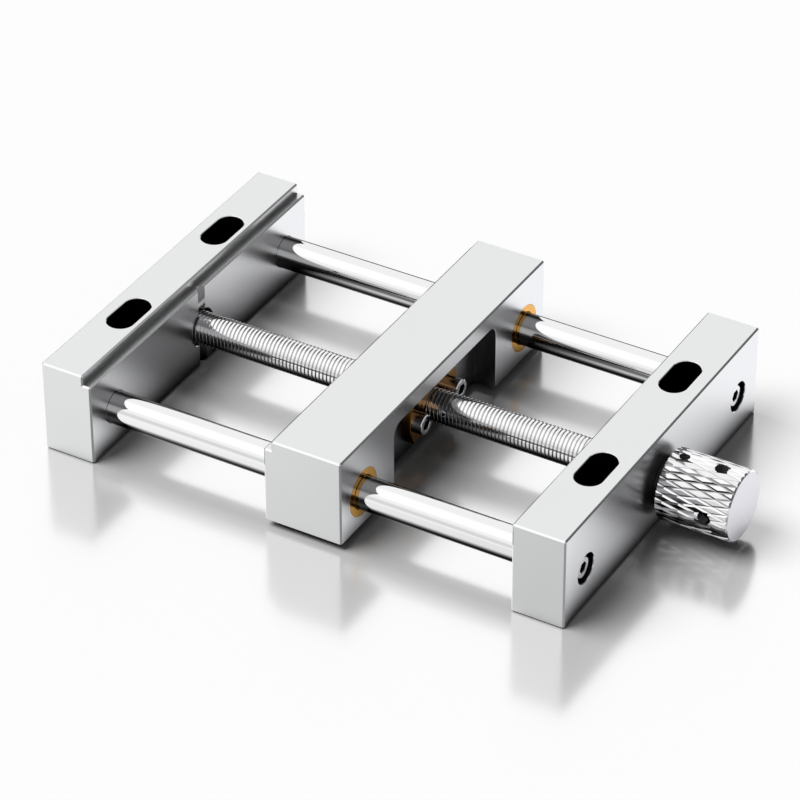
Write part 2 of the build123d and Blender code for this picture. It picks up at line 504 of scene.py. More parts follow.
class NodeBench:
    """Places and joins shader nodes in one node tree."""

    def __init__(self, tree: bpy.types.NodeTree) -> None:
        """Takes the tree to work in."""
        self.tree = tree

    @classmethod
    def for_material(cls, name: str) -> tuple[bpy.types.Material, "NodeBench"]:
        """Makes a material without nodes and the bench for its tree.

        Args:
            name: The material's name.

        Returns:
            The material and the bench.
        """
        material = bpy.data.materials.new(name)
        material.use_nodes = True
        material.node_tree.nodes.clear()
        return material, cls(material.node_tree)

    def add(self, kind: str, inputs: dict | None = None, **settings: object) -> bpy.types.Node:
        """Adds a node.

        Args:
            kind: The node's Blender type.
            inputs: Values or sockets for its inputs, by name or number.
            settings: Values for its own settings.

        Returns:
            The node.
        """
        node = self.tree.nodes.new(kind)
        for name, value in settings.items():
            setattr(node, name, value)
        for key, value in (inputs or {}).items():
            if isinstance(value, Socket):
                self.tree.links.new(value, node.inputs[key])
            else:
                node.inputs[key].default_value = value
        return node

    def math(self, operation: str, *values: object) -> Socket:
        """Adds a Math node and returns its result."""
        return self.add("ShaderNodeMath", dict(enumerate(values)), operation=operation).outputs[0]

    def mix(self, factor: object, low: object, high: object, kind: Blend = Blend.NUMBER) -> Socket:
        """Adds a Mix node between two numbers or colours and returns its result.

        Args:
            factor: The share of the second.
            low: The first number or colour.
            high: The second one.
            kind: What is blended.

        Returns:
            The blend.
        """
        data_type, first, result = kind.value
        inputs = {0: factor, first: low, first + 1: high}
        return self.add("ShaderNodeMix", inputs, data_type=data_type).outputs[result]

    def fade(self, value: Socket, fade: Fade) -> Socket:
        """Adds a Map Range node that runs a value through a fade and returns the level.

        Args:
            value: The value.
            fade: The fade.

        Returns:
            The level.
        """
        inputs = {
            "Value": value,
            "From Min": fade.start,
            "From Max": fade.end,
            "To Min": fade.low,
            "To Max": fade.high,
        }
        curve = "SMOOTHSTEP" if fade.smooth else "LINEAR"
        return self.add("ShaderNodeMapRange", inputs, interpolation_type=curve).outputs[0]

    def split(self, vector: Socket) -> tuple[Socket, Socket, Socket]:
        """Adds a node that splits a vector and returns its X, Y and Z."""
        return tuple(self.add("ShaderNodeSeparateXYZ", {0: vector}).outputs)

    def dot(self, first: object, second: object) -> Socket:
        """Adds a node for the dot product of two vectors and returns it."""
        node = self.add("ShaderNodeVectorMath", {0: first, 1: second}, operation="DOT_PRODUCT")
        return node.outputs["Value"]


class SurfaceGroups:
    """The shader groups that several finishes share, each built once."""

    edge_lean = Fade(1.0, 0.85)

    def __init__(self) -> None:
        """Builds the groups."""
        self.grain = self._grain()
        self.tool_marks = self._tool_marks()
        self.edge_mask = self._edge_mask()

    @staticmethod
    def _start(
        name: str, inputs: dict[str, float | None], outputs: Sequence[str]
    ) -> tuple[NodeBench, bpy.types.Node, bpy.types.Node]:
        """Makes an empty group.

        Args:
            name: The group's name.
            inputs: Each input's default; None makes it a vector input.
            outputs: The names of its float outputs.

        Returns:
            The bench for its tree, its input node and its output node.
        """
        tree = bpy.data.node_groups.new(name, "ShaderNodeTree")
        for socket, default in inputs.items():
            kind = "NodeSocketVector" if default is None else "NodeSocketFloat"
            made = tree.interface.new_socket(socket, in_out="INPUT", socket_type=kind)
            if default is not None:
                made.default_value = default
        for socket in outputs:
            tree.interface.new_socket(socket, in_out="OUTPUT", socket_type="NodeSocketFloat")
        return NodeBench(tree), tree.nodes.new("NodeGroupInput"), tree.nodes.new("NodeGroupOutput")

    def _grain(self) -> bpy.types.NodeTree:
        """Fine even grain and slow mottling, as a blasted or moulded skin has.

        Returns:
            The group's tree.
        """
        inputs = {"Vector": None, "Grain": 4000.0, "Mottle": 60.0}
        bench, given, result = self._start("surface_grain", inputs, ("Height", "Mottle"))
        for name, scale, detail in (("Height", "Grain", 3.0), ("Mottle", "Mottle", 4.0)):
            pattern = {
                "Vector": given.outputs["Vector"],
                "Scale": given.outputs[scale],
                "Detail": detail,
            }
            noise = bench.add("ShaderNodeTexNoise", pattern)
            bench.tree.links.new(noise.outputs["Fac"], result.inputs[name])
        return bench.tree

    def _tool_marks(self) -> bpy.types.NodeTree:
        """Rings left by a lathe or a grinding wheel about the X axis of the vector.

        Returns:
            The group's tree.
        """
        inputs = {"Vector": None, "Rings": 8000.0, "Bands": 400.0}
        bench, given, result = self._start("tool_marks", inputs, ("Height", "Mottle"))
        x, y, z = bench.split(given.outputs["Vector"])
        squares = bench.math("ADD", bench.math("MULTIPLY", y, y), bench.math("MULTIPLY", z, z))
        rings = bench.add("ShaderNodeCombineXYZ", {0: x, 1: bench.math("SQRT", squares)})
        for name, scale, detail in (("Height", "Rings", 2.0), ("Mottle", "Bands", 3.0)):
            pattern = {
                "Vector": rings.outputs[0],
                "Scale": given.outputs[scale],
                "Detail": detail,
            }
            noise = bench.add("ShaderNodeTexNoise", pattern, noise_dimensions="2D")
            bench.tree.links.new(noise.outputs["Fac"], result.inputs[name])
        return bench.tree

    def _edge_mask(self) -> bpy.types.NodeTree:
        """One along edges and nought on open faces.

        Returns:
            The group's tree.
        """
        bench, given, result = self._start("edge_mask", {"Radius": 0.0001}, ("Mask",))
        rounded = bench.add("ShaderNodeBevel", {"Radius": given.outputs["Radius"]}, samples=4)
        flat = bench.add("ShaderNodeNewGeometry")
        lean = bench.dot(rounded.outputs["Normal"], flat.outputs["Normal"])
        bench.tree.links.new(bench.fade(lean, self.edge_lean), result.inputs["Mask"])
        return bench.tree


@dataclass(frozen=True)
class Finish:
    """A metal or plastic finish, with the marks of the work that made it, and where asked a
    painted highlight along its edges.
    """

    name: str
    colour: Point
    roughness: float
    fine: float
    slow: float
    mark_depth: float
    mottle: float
    roughness_swing: float = 0.04
    metallic: float = 1.0
    lay: Lay = Lay.EVEN
    edge_highlight: float = 0.0
    edge_radius: float = 0.0001
    edge_highlight_gain: float = 1.12

    def shade(self, gain: float) -> tuple[float, ...]:
        """The finish's colour with its brightness changed, for a shader socket."""
        return tuple(min(1.0, level * gain) for level in self.colour) + (1.0,)

    def build(self, groups: SurfaceGroups) -> bpy.types.Material:
        """Builds the material.

        Args:
            groups: The shared shader groups.

        Returns:
            The material.
        """
        material, bench = NodeBench.for_material(self.name)
        places = bench.add("ShaderNodeTexCoord").outputs["Object"]
        centre = {"Vector": places, "Location": (0.0, 0.0, -AXIS_HEIGHT * MM)}
        pattern = {"Vector": bench.add("ShaderNodeMapping", centre).outputs[0]}
        if self.lay is Lay.TURNED:
            group = groups.tool_marks
            pattern |= {"Rings": self.fine, "Bands": self.slow}
        else:
            group = groups.grain
            pattern |= {"Grain": self.fine, "Mottle": self.slow}
        marks = bench.add("ShaderNodeGroup", pattern, node_tree=group)
        mottle = marks.outputs["Mottle"]
        dark, light = self.shade(1.0 - self.mottle), self.shade(1.0 + self.mottle)
        colour = bench.mix(mottle, dark, light, Blend.COLOUR)
        low = max(0.0, self.roughness - self.roughness_swing)
        rough = bench.fade(mottle, Fade(0.0, 1.0, low, self.roughness + self.roughness_swing))
        # Painted highlight: the colour is pushed brighter along edges.
        if self.edge_highlight > 0.0:
            reach = {"Radius": self.edge_radius}
            edges = bench.add("ShaderNodeGroup", reach, node_tree=groups.edge_mask)
            lift = bench.math("MULTIPLY", edges.outputs["Mask"], self.edge_highlight)
            colour = bench.mix(lift, colour, self.shade(self.edge_highlight_gain), Blend.COLOUR)
        relief = {"Height": marks.outputs["Height"], "Distance": self.mark_depth}
        surface = bench.add(
            "ShaderNodeBsdfPrincipled",
            {
                "Base Color": colour,
                "Metallic": self.metallic,
                "Roughness": rough,
                "Normal": bench.add("ShaderNodeBump", relief).outputs[0],
            },
        )
        bench.add("ShaderNodeOutputMaterial", {"Surface": surface.outputs[0]})
        return material


BLOCK_FINISH = Finish(
    "blasted_aluminium", colour=(0.86, 0.872, 0.868), roughness=0.3, roughness_swing=0.03,
    fine=5200.0, slow=70.0, mark_depth=1.2e-6, mottle=0.01,
)
# Broken edges: cut smoother than the blasted faces, and painted brighter than them as a highlight.
EDGE_HIGHLIGHT_FINISH = Finish(
    "cut_edge_painted_highlight", colour=(0.94, 0.94, 0.945), roughness=0.1, roughness_swing=0.02,
    fine=6000.0, slow=300.0, mark_depth=3e-7, mottle=0.01,
)
# Painted shade: near-black walls for the slots, counterbores and screw sockets, where shade falls.
HOLE_SHADE_FINISH = Finish(
    "hole_wall_painted_shade", colour=(0.035, 0.035, 0.036), roughness=0.4,
    fine=6000.0, slow=300.0, mark_depth=6e-7, mottle=0.1,
)
ROD_FINISH = Finish(
    "ground_chrome", colour=(0.93, 0.93, 0.935), roughness=0.045, roughness_swing=0.02,
    fine=9000.0, slow=500.0, mark_depth=2e-7, mottle=0.01, lay=Lay.TURNED,
)
SPINDLE_FINISH = Finish(
    "rolled_thread_steel", colour=(0.97, 0.97, 0.975), roughness=0.07, roughness_swing=0.03,
    fine=9000.0, slow=300.0, mark_depth=4e-7, mottle=0.03, lay=Lay.TURNED,
)
FASTENER_FINISH = Finish(
    "turned_screw_steel", colour=(0.84, 0.84, 0.85), roughness=0.11, roughness_swing=0.03,
    fine=9000.0, slow=700.0, mark_depth=4e-7, mottle=0.03, lay=Lay.TURNED,
)
SET_SCREW_FINISH = Finish(
    "black_oxide_steel", colour=(0.09, 0.09, 0.095), roughness=0.34, roughness_swing=0.06,
    fine=6000.0, slow=500.0, mark_depth=6e-7, mottle=0.12,
)
# Painted shade: the brass is darkened to the shade of the pocket that the nut sits in.
NUT_SHADE_FINISH = Finish(
    "turned_brass_painted_shade", colour=(0.42, 0.2, 0.04), roughness=0.13,
    fine=7000.0, slow=300.0, mark_depth=8e-7, mottle=0.05, lay=Lay.TURNED,
)
BUSH_FINISH = Finish(
    "sintered_bronze", colour=(0.82, 0.42, 0.07), roughness=0.16, roughness_swing=0.05,
    fine=5000.0, slow=240.0, mark_depth=1.2e-6, mottle=0.06,
)
# Painted highlight: the knurl is brightened along its edges.
KNOB_FINISH = Finish(
    "knurled_aluminium", colour=(0.93, 0.93, 0.94), roughness=0.07, roughness_swing=0.02,
    fine=9000.0, slow=200.0, mark_depth=2e-7, mottle=0.006, lay=Lay.TURNED, edge_highlight=0.3,
)
# Painted shade: the knob's end face is darker and bluer than the knob's aluminium, for the shade
# and cool light on that side.
KNOB_END_SHADE_FINISH = Finish(
    "faced_aluminium_painted_shade", colour=(0.73, 0.73, 0.755), roughness=0.22, roughness_swing=0.02,
    fine=9000.0, slow=120.0, mark_depth=1e-7, mottle=0.006, lay=Lay.TURNED,
)
# Painted shade: near-black walls for the knob's tapped cross holes, where shade falls.
TAPPED_HOLE_SHADE_FINISH = Finish(
    "tapped_hole_painted_shade", colour=(0.045, 0.045, 0.048), roughness=0.25,
    fine=6000.0, slow=500.0, mark_depth=4e-7, mottle=0.1,
)
WASHER_FINISH = Finish(
    "moulded_acetal", colour=(0.012, 0.012, 0.013), roughness=0.42, roughness_swing=0.05,
    fine=3000.0, slow=120.0, mark_depth=1e-6, mottle=0.15, metallic=0.0,
)


@dataclass(frozen=True)
class Places:
    """Places along the spindle's axis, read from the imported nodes, in millimetres."""

    fixed_outer: float
    fixed_inner: float
    jaw_back: float
    jaw_front: float
    end_inner: float
    end_outer: float
    knob_back: float
    knob_front: float

    @staticmethod
    def span(node: str) -> tuple[float, float]:
        """Reads a node's lowest and highest place along X."""
        low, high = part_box(node)
        return low.x / MM, high.x / MM

    @classmethod
    def from_frame(cls) -> "Places":
        """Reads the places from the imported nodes' boxes."""
        nodes = ("fixed_jaw", "movable_jaw", "end_block", "knob")
        return cls(*(place for node in nodes for place in cls.span(node)))


@dataclass(frozen=True)
class BlockFinishes:
    """The finishes of a block's faces, its broken edges with their painted highlight, and its
    holes' walls painted near-black as shade.
    """

    face: bpy.types.Material
    edge: bpy.types.Material
    slot: bpy.types.Material


@dataclass
class Block:
    """What the three blocks share: their size, their edges and how holes are cut.

    The last four sizes tell a block's faces apart: how close a face lies to a counterbore's
    wall, how far the end chamfers reach, and how square a face is to an axis or to X.
    """

    places: Places
    length: float = 95.0
    height: float = 24.0
    edge_break: float = 0.38
    rim_break: float = 0.15
    ledge_depth: float = 2.0
    ledge_height: float = 2.6
    slot_line: float = 6.4
    slot_spacing: float = 41.0
    slot_width: float = 6.8
    slot_length: float = 13.6
    slot_steps: int = 66
    screw_hole_radius: float = 1.7
    counterbore_radius: float = 3.7
    counterbore_depth: float = 3.7
    overshoot: float = 2.0
    rim_reach: float = 1.5
    wall_gap: float = 0.02
    end_band: float = 1.5
    square_on: float = 0.9
    along_x: float = 0.05

    def ledged_bar(self, grip: float, back: float, foot: float = 0.0) -> Shape:
        """Makes a jaw's bar with a ledge along its gripping face and broken edges.

        Args:
            grip: Place of the gripping face.
            back: Place of the opposite face.
            foot: Height of the underside.

        Returns:
            The bar.
        """
        ledge = self.height - self.ledge_height
        recess = grip + math.copysign(self.ledge_depth, back - grip)
        outline = (
            (back, foot), (grip, foot), (grip, ledge),
            (recess, ledge), (recess, self.height), (back, self.height),
        )
        return Shape.extruded(outline, self.length / 2.0).soften(self.edge_break, 1)

    def slot_tools(self, x: float) -> list[Shape]:
        """Makes the tools for a block's two mounting slots, with a broken rim.

        Args:
            x: Place of the slots' centre line.

        Returns:
            The two tools.
        """
        radius = self.slot_width / 2.0
        rim = radius + self.rim_break
        below, above = -self.overshoot, self.height + self.overshoot
        profile = (
            (below, 0.0), (below, rim), (0.0, rim), (self.rim_break, radius),
            (self.height - self.rim_break, radius), (self.height, rim), (above, rim), (above, 0.0),
        )
        tools = []
        for side in Side:
            tool = Shape.turned(profile, steps=self.slot_steps).turn(-QUARTER_TURN, "Y")
            tool.stretch((self.slot_length - self.slot_width) / 2.0)
            tools.append(tool.move(x, side.value * self.slot_spacing / 2.0, 0.0))
        return tools

    def seat_tools(self, inner: float, outer: float) -> list[Shape]:
        """Makes the stepped tools for a block's rod seats and screw counterbores.

        Args:
            inner: Place of the face that the rods enter.
            outer: Place of the face with the counterbores.

        Returns:
            The two tools.
        """
        rim, over, thickness = self.rim_break, self.overshoot, abs(outer - inner)
        hole, wide = self.screw_hole_radius, self.counterbore_radius
        shelf = thickness - self.counterbore_depth
        steps = (
            (-over, 0.0), (-over, ROD_RADIUS + rim), (0.0, ROD_RADIUS + rim), (rim, ROD_RADIUS),
            (SEAT_DEPTH, ROD_RADIUS), (SEAT_DEPTH, hole), (shelf, hole), (shelf, wide),
            (thickness - rim, wide), (thickness, wide + rim), (thickness + over, wide + rim),
            (thickness + over, 0.0),
        )
        way = math.copysign(1.0, outer - inner)
        profile = [(inner + way * place, radius) for place, radius in steps]
        return [Shape.turned(profile, side.value * ROD_LINE, AXIS_HEIGHT) for side in Side]

    def dress(
        self, piece: bpy.types.Object, finishes: BlockFinishes, slots: float | None = None
    ) -> None:
        """Gives the broken edges a brighter finish as a painted highlight, and paints the walls of
        the slots and counterbores near-black as shade.

        Args:
            piece: The finished block.
            finishes: The blocks' finishes.
            slots: Place of the slots' centre line, if the block has slots.
        """
        piece.data.materials.append(finishes.edge)
        piece.data.materials.append(finishes.slot)
        depth = self.rim_reach * self.rim_break
        for face in piece.data.polygons:
            place, normal = face.center / MM, face.normal
            from_slot = abs(abs(place.y) - self.slot_spacing / 2.0)
            from_rod = math.hypot(abs(place.y) - ROD_LINE, place.z - AXIS_HEIGHT)
            faces_x = abs(normal.x) > self.along_x
            in_slot = (
                slots is not None
                and abs(place.x - slots) < self.slot_width / 2.0 + SAME_PLACE
                and from_slot < self.slot_length / 2.0 + SAME_PLACE
                and depth < place.z < self.height - depth
            )
            on_counterbore = abs(from_rod - self.counterbore_radius) < self.wall_gap
            # Painted shade: the walls of the slots and counterbores take the near-black finish.
            if in_slot or (on_counterbore and not faces_x):
                face.material_index = 2
            # Painted highlight: broken edges and end chamfers take the brighter edge finish.
            elif max(abs(part) for part in normal) < self.square_on:
                if faces_x or abs(place.y) > self.length / 2.0 - self.end_band:
                    face.material_index = 1


@dataclass
class FixedJaw(Block):
    """The fixed jaw: a bar with a ledge, a V-groove, two slots and two rod seats."""

    vee_width: float = 3.0

    def build(self, finishes: BlockFinishes) -> None:
        """Builds the jaw in its finishes.

        Args:
            finishes: The blocks' finishes.
        """
        outer, inner = self.places.fixed_outer, self.places.fixed_inner
        bar = self.ledged_bar(inner, outer)
        bar.cut(*self.slot_tools(outer + self.slot_line), *self.seat_tools(inner, outer))
        side = self.vee_width / math.sqrt(2.0)
        half = (-side / 2.0, side / 2.0)
        vee = Shape.box(half, half, (-self.overshoot, self.height + self.overshoot))
        bar.cut(vee.turn(QUARTER_TURN / 2.0, "Z").move(inner, 0.0, 0.0))
        end, front = inner - TAIL_BORE_DEPTH, inner + self.overshoot
        radius, mouth = JOURNAL_BUSH_RADIUS, JOURNAL_BUSH_RADIUS + self.rim_break
        bore = (
            (end, 0.0), (end, radius), (inner - self.rim_break, radius),
            (inner, mouth), (front, mouth), (front, 0.0),
        )
        bar.cut(Shape.turned(bore, 0.0, AXIS_HEIGHT))
        piece = bar.finish("fixed_jaw_bar", finishes.face, Body.FRAME, Slot.BLOCK, "fixed_jaw")
        self.dress(piece, finishes, outer + self.slot_line)


@dataclass
class EndBlock(Block):
    """The end block: a plain bar with two slots, two rod seats and the spindle's bore."""

    def build(self, finishes: BlockFinishes) -> None:
        """Builds the block in its finishes.

        Args:
            finishes: The blocks' finishes.
        """
        inner, outer = self.places.end_inner, self.places.end_outer
        half = self.length / 2.0
        bar = Shape.box((inner, outer), (-half, half), (0.0, self.height))
        bar.soften(self.edge_break, 1)
        bar.cut(*self.slot_tools(inner + self.slot_line), *self.seat_tools(inner, outer))
        over = self.overshoot
        bar.cut(Shape.pin(inner - over, outer + over, JOURNAL_BUSH_RADIUS))
        piece = bar.finish("end_block_bar", finishes.face, Body.FRAME, Slot.BLOCK, "end_block")
        self.dress(piece, finishes, inner + self.slot_line)


@dataclass
class SlidingJaw(Block):
    """The sliding jaw, with its ledge, bush bores and the pocket for the nut."""

    lift: float = 1.4
    pocket_width: float = 47.5
    pocket_web: float = 4.5
    pocket_corner: float = 3.0
    corner_steps: int = 12
    hub_radius: float = 5.25

    def pocket_tool(self) -> Shape:
        """Makes the tool for the nut's pocket, open below, with rounded top corners.

        Returns:
            The tool.
        """
        front, over = self.places.jaw_front, self.overshoot
        half, top = self.pocket_width / 2.0, self.height - self.pocket_web
        tool = Shape.box((front - POCKET_DEPTH, front + over), (-half, half), (-over, top))
        corners = [
            edge
            for edge in tool.bm.edges
            if all(abs(vert.co.z - top) < SAME_PLACE for vert in edge.verts)
            and abs(edge.verts[0].co.y - edge.verts[1].co.y) < SAME_PLACE
        ]
        return tool.bevel(corners, self.pocket_corner, self.corner_steps)

    def on_pocket_rim(self, edge: bmesh.types.BMEdge) -> bool:
        """Whether the edge lies where the pocket opens in the front face.

        Args:
            edge: An edge of the bar.

        Returns:
            Whether it does.
        """
        return all(
            abs(vert.co.x - self.places.jaw_front) < SAME_PLACE
            and abs(vert.co.y) < self.pocket_width / 2.0 + SAME_PLACE
            and vert.co.z < self.height - self.pocket_web + SAME_PLACE
            for vert in edge.verts
        )

    def build(self, finishes: BlockFinishes) -> None:
        """Builds the jaw in its finishes.

        Args:
            finishes: The blocks' finishes.
        """
        back, front, over = self.places.jaw_back, self.places.jaw_front, self.overshoot
        bar = self.ledged_bar(back, front, self.lift)
        bar.cut(self.pocket_tool())
        bar.soften(self.rim_break, 2, self.on_pocket_rim)
        for side in Side:
            line = side.value * ROD_LINE
            bar.cut(Shape.pin(back - over, front + over, GUIDE_BUSH_RADIUS, line))
        bar.cut(Shape.pin(back - over, front, self.hub_radius))
        piece = bar.finish("sliding_jaw_bar", finishes.face, Body.JAW, Slot.BLOCK, "movable_jaw")
        self.dress(piece, finishes)


@dataclass
class GuideRods:
    """The two guide rods, seated in the fixed jaw and the end block."""

    places: Places
    chamfer: float = 0.4
    tap_radius: float = 1.55
    tap_depth: float = 7.95
    steps: int = 160

    def build(self, finish: bpy.types.Material) -> None:
        """Builds both rods, which the wide lamp leaves without a shadow.

        Args:
            finish: The rods' finish.
        """
        start = self.places.fixed_inner - SEAT_DEPTH
        end = self.places.end_inner + SEAT_DEPTH
        shoulder = ROD_RADIUS - self.chamfer
        profile = (
            (start + self.tap_depth, 0.0), (start + self.tap_depth, self.tap_radius),
            (start, self.tap_radius), (start, shoulder), (start + self.chamfer, ROD_RADIUS),
            (end - self.chamfer, ROD_RADIUS), (end, shoulder), (end, self.tap_radius),
            (end - self.tap_depth, self.tap_radius), (end - self.tap_depth, 0.0),
        )
        for side in Side:
            node = f"guide_rod_{side.label}"
            rod = Shape.turned(profile, side.value * ROD_LINE, AXIS_HEIGHT, self.steps)
            piece = rod.finish(f"{node}_ground", finish, Body.FRAME, Slot.ROD, node)
            piece.visible_shadow = False


@dataclass
class Spindle:
    """The threaded spindle, with a journal at each end."""

    places: Places
    pitch: float = 1.0
    ridge: Profile = (
        (-0.29, 4.0), (0.29, 4.0), (0.34, 3.94), (0.47, 3.5), (0.53, 3.5), (0.66, 3.94),
    )
    spare_turns: float = 1.5
    thread_steps: int = 48
    tail_gap: float = 4.705
    nose_gap: float = 1.05
    journal_radius: float = 3.0
    chamfer: float = 0.4

    def build(self, finish: bpy.types.Material) -> None:
        """Builds the spindle with its right-hand thread.

        Args:
            finish: The spindle's finish.
        """
        tail, nose = self.places.span("lead_screw")
        start = self.places.fixed_inner - self.tail_gap
        end = self.places.end_inner - self.nose_gap
        turns = math.ceil((end - start) / self.pitch + 2.0 * self.spare_turns)
        begin = start - self.spare_turns * self.pitch
        profile = [
            (begin + (turn + part) * self.pitch, radius)
            for turn in range(turns)
            for part, radius in self.ridge
        ]
        spindle = Shape()
        spindle.add_turned(profile, self.pitch, self.thread_steps)
        spindle.trim(start, end)
        radius, chamfer = self.journal_radius, self.chamfer
        for tip, shoulder in ((tail, start), (nose, end)):
            slope = tip + math.copysign(chamfer, shoulder - tip)
            journal = ((tip, 0.0), (tip, radius - chamfer), (slope, radius), (shoulder, radius))
            spindle.add_turned(journal)
        for place in (start, end):
            rims = [
                edge
                for edge in spindle.bm.edges
                if edge.is_boundary
                and all(abs(vert.co.x - place) < SAME_PLACE for vert in edge.verts)
            ]
            bmesh.ops.triangle_fill(
                spindle.bm, edges=rims, use_beauty=True, normal=(1.0, 0.0, 0.0)
            )
        spindle.close().move(0.0, 0.0, AXIS_HEIGHT)
        piece = spindle.finish("spindle_thread", finish, Body.SCREW, Slot.SPINDLE, "lead_screw")
        piece.visible_shadow = False


@dataclass
class Nut:
    """The flanged nut in the sliding jaw's pocket."""

    places: Places
    flange_radius: float = 11.0
    flange_height: float = 11.0
    hub_radius: float = 5.1
    hub_length: float = 12.0
    bore_radius: float = 4.05
    edge: float = 0.2
    screw_hole_radius: float = 1.7
    hole_steps: int = 48
    overshoot: float = 1.0

    def build(self, finish: bpy.types.Material) -> None:
        """Builds the nut in its finish.

        Args:
            finish: The nut's finish.
        """
        seat = self.places.jaw_front - POCKET_DEPTH
        face, tail = seat + FLANGE_THICKNESS, seat - self.hub_length
        edge, bore, hub, flange = self.edge, self.bore_radius, self.hub_radius, self.flange_radius
        profile = (
            (tail, bore + edge), (tail, hub - edge), (tail + edge, hub), (seat, hub),
            (seat, flange), (face - edge, flange), (face, flange - edge),
            (face, bore + 2.0 * edge), (face - 2.0 * edge, bore), (tail + edge, bore),
            (tail, bore + edge),
        )
        nut = Shape.turned(profile, 0.0, AXIS_HEIGHT)
        half, over = self.flange_height / 2.0, self.overshoot
        wide = (-2.0 * flange, 2.0 * flange)
        high = (AXIS_HEIGHT - half, AXIS_HEIGHT + half)
        nut.keep(Shape.box((tail - over, face + over), wide, high))
        for side in Side:
            line, hole = side.value * NUT_SCREW_LINE, self.screw_hole_radius
            nut.cut(Shape.pin(seat - over, face + over, hole, line, steps=self.hole_steps))
        nut.finish("lead_nut_turned", finish, Body.JAW, Slot.NUT, "lead_nut")


@dataclass
class Bushes:
    """The bushes that run on the rods and on the spindle's journals."""

    places: Places
    guide_bore: float = 4.05
    guide_length: float = 8.0
    journal_bore: float = 3.05
    tail_length: float = 5.0
    lead: float = 0.2
    rim: float = 0.2 / 3.0

    def build(self, finish: bpy.types.Material) -> None:
        """Builds the four rod bushes and the two journal bushes.

        Args:
            finish: The bushes' finish.
        """
        back, front = self.places.jaw_back, self.places.jaw_front
        long, lead, rim = self.guide_length, self.lead, self.rim
        ends = {"rear": (back, back + long), "front": (front - long, front)}
        for side in Side:
            line = side.value * ROD_LINE
            for end, span in ends.items():
                node = f"guide_bush_{end}_{side.label}"
                tube = Shape.tube(span, self.guide_bore, GUIDE_BUSH_RADIUS, line, lead, rim)
                tube.finish(f"{node}_bronze", finish, Body.JAW, Slot.BUSH, node)
        tail = self.places.fixed_inner - TAIL_BORE_DEPTH
        journals = {
            "tail_bush": (tail, tail + self.tail_length),
            "front_bush": (self.places.end_inner, self.places.end_outer),
        }
        for node, span in journals.items():
            tube = Shape.tube(span, self.journal_bore, JOURNAL_BUSH_RADIUS, 0.0, lead, rim)
            tube.finish(f"{node}_bronze", finish, Body.FRAME, Slot.BUSH, node)


@dataclass
class Washers:
    """The plastic washers on each side of the end block."""

    places: Places
    bore_radius: float = 3.15
    rim: float = 0.15
    inner_thickness: float = 1.0
    inner_radius: float = 5.5
    outer_thickness: float = 1.6
    outer_radius: float = 6.0

    def build(self, finish: bpy.types.Material) -> None:
        """Builds both washers.

        Args:
            finish: The washers' finish.
        """
        inner, outer = self.places.end_inner, self.places.end_outer
        sizes = {
            "thrust_washer_inner": ((inner - self.inner_thickness, inner), self.inner_radius),
            "thrust_washer_outer": ((outer, outer + self.outer_thickness), self.outer_radius),
        }
        for node, (span, radius) in sizes.items():
            washer = Shape.tube(span, self.bore_radius, radius, rim=self.rim)
            washer.finish(f"{node}_acetal", finish, Body.FRAME, Slot.WASHER, node)


@dataclass(frozen=True)
class SocketScrew:
    """A socket head screw, its head's face at nought and its shank along +X."""

    head_radius: float
    head_height: float
    shank_length: float
    shank_radius: float = 1.5
    socket: float = 2.5
    socket_depth: float = 1.6
    socket_lead: float = 0.12
    drill_tip: float = 0.5
    edge: float = 0.3
    ease: tuple[float, float] = (0.12, 0.09)
    overshoot: float = 1.0
    steps: int = 72

    def shape(self) -> Shape:
        """Turns the screw and cuts its hexagon socket.

        Returns:
            The screw on the X axis.
        """
        head, shank, edge = self.head_radius, self.shank_radius, self.edge
        ease_in, ease_out = self.ease
        neck, tip = self.head_height, self.head_height + self.shank_length
        profile = (
            (0.0, 0.0), (0.0, head - edge), (ease_in, head - ease_out), (edge, head),
            (neck, head), (neck, shank), (tip - edge, shank), (tip, shank - edge), (tip, 0.0),
        )
        screw = Shape.turned(profile, steps=self.steps)
        across, lead = self.socket / math.sqrt(3.0), self.socket_lead
        over, floor = self.overshoot, self.socket_depth
        well = (
            (-over, 0.0), (-over, across + lead + over), (lead, across), (floor, across),
            (floor + self.drill_tip, 0.0),
        )
        return screw.cut(Shape.turned(well, steps=HEXAGON))


@dataclass(frozen=True)
class ScrewPlace:
    """Where a screw goes: its node and body, its head's face along X, its line and turn."""

    node: str
    body: Body
    face: float
    line: float
    turn: float = HALF_TURN


